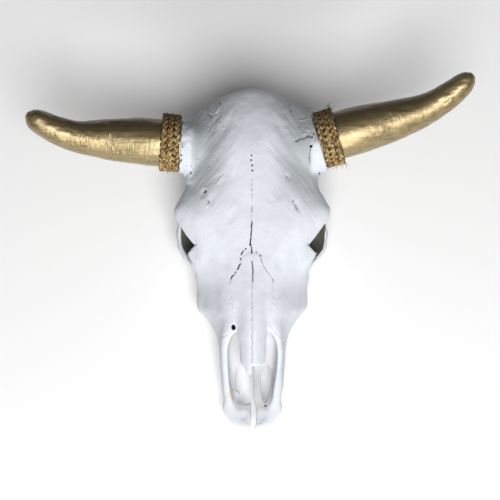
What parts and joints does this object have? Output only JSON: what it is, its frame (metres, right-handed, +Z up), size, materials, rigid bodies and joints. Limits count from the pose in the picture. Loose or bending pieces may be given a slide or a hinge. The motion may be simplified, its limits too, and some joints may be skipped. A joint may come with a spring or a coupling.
{
  "type": "cow skull",
  "caption": "Cow skull without its lower jaw, painted white, with gold-painted horns and a jute rope wound round each horn's root, lying face up.",
  "frame": {"origin": "on the floor, under the middle of the skull's bounding box", "axes": "+X to the viewer's right across the horns, +Y from the muzzle to the poll, +Z up; the face slopes up from the muzzle to the poll as the skull lies on its cheek teeth and neck processes"},
  "size_m": [0.639, 0.4868, 0.2111],
  "materials": {
    "bone_paint": "matt white paint over bone",
    "gold_paint": "brushed gold paint over horn",
    "jute": "coarse plaited jute"
  },
  "bodies": {
    "root": {"cranium": "bone_paint", "nasal_left": "bone_paint", "nasal_right": "bone_paint", "maxilla_left": "bone_paint", "maxilla_right": "bone_paint", "premaxilla_left": "bone_paint", "premaxilla_right": "bone_paint", "zygomatic_left": "bone_paint", "zygomatic_right": "bone_paint", "horn_left": "gold_paint", "horn_right": "gold_paint", "rope_left": "jute", "rope_right": "jute"}
  },
  "joints": []
}
